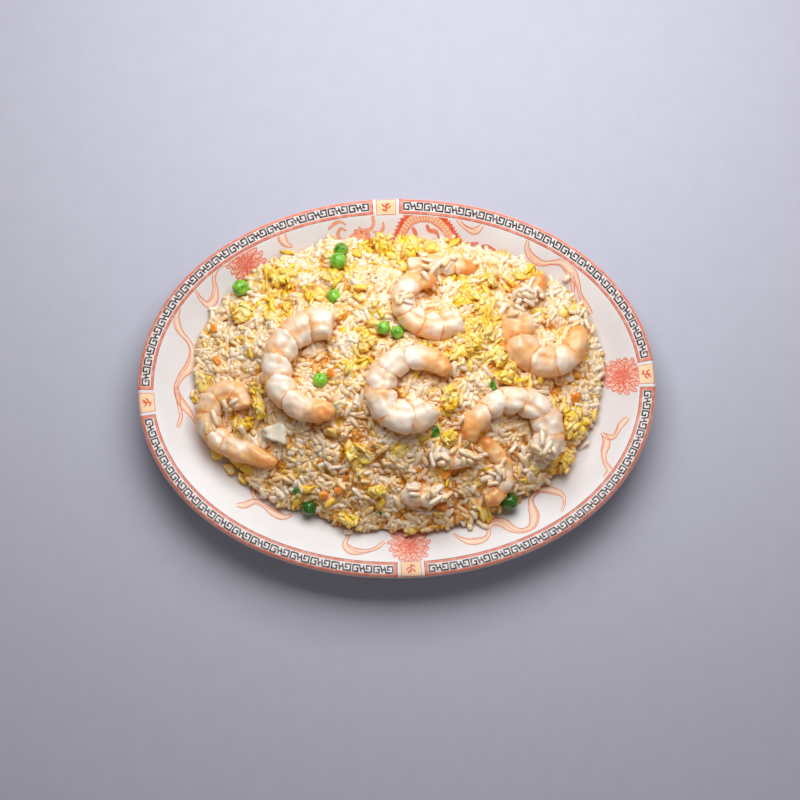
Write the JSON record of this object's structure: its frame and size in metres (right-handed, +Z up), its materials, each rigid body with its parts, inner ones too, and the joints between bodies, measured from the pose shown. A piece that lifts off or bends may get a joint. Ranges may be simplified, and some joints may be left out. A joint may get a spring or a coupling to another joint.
{
  "type": "shrimp fried rice on an oval platter",
  "caption": "Shrimp fried rice heaped on an oval printed platter, with curled shrimps, scrambled egg, green peas and diced carrot through the rice.",
  "frame": {"origin": "under the middle of the platter, on the plane its foot ring stands on", "axes": "+X along the platter's long side, +Y across it, +Z up out of the food"},
  "size_m": [0.285, 0.212, 0.0583],
  "materials": {
    "platter": "glossy off-white melamine with a coral and brown-black printed border",
    "rice": "moist cooked rice grains, pearly cream, amber in the gaps",
    "shrimp": "moist cooked shrimp, pearly white with peach and orange seams",
    "pea": "smooth moist green pea skin",
    "egg": "soft scrambled egg, yellow with paler ridges"
  },
  "bodies": {
    "root": {"platter": "platter", "rice_heap": "rice", "shrimp_1": "shrimp", "shrimp_2": "shrimp", "shrimp_3": "shrimp", "shrimp_4": "shrimp", "shrimp_5": "shrimp", "shrimp_6": "shrimp", "shrimp_7": "shrimp", "shrimp_8": "shrimp", "shrimp_9": "shrimp", "shrimp_10": "shrimp", "shrimp_11": "shrimp", "pea_1": "pea", "pea_2": "pea", "pea_3": "pea", "pea_4": "pea", "pea_5": "pea", "pea_6": "pea", "pea_7": "pea", "pea_8": "pea", "pea_9": "pea", "egg_1": "egg", "egg_2": "egg", "egg_3": "egg", "egg_4": "egg", "egg_5": "egg", "egg_6": "egg", "egg_7": "egg", "egg_8": "egg", "egg_9": "egg", "egg_10": "egg", "egg_11": "egg", "egg_12": "egg", "egg_13": "egg", "egg_14": "egg", "egg_15": "egg", "egg_16": "egg", "egg_17": "egg", "egg_18": "egg", "egg_19": "egg"}
  },
  "joints": []
}
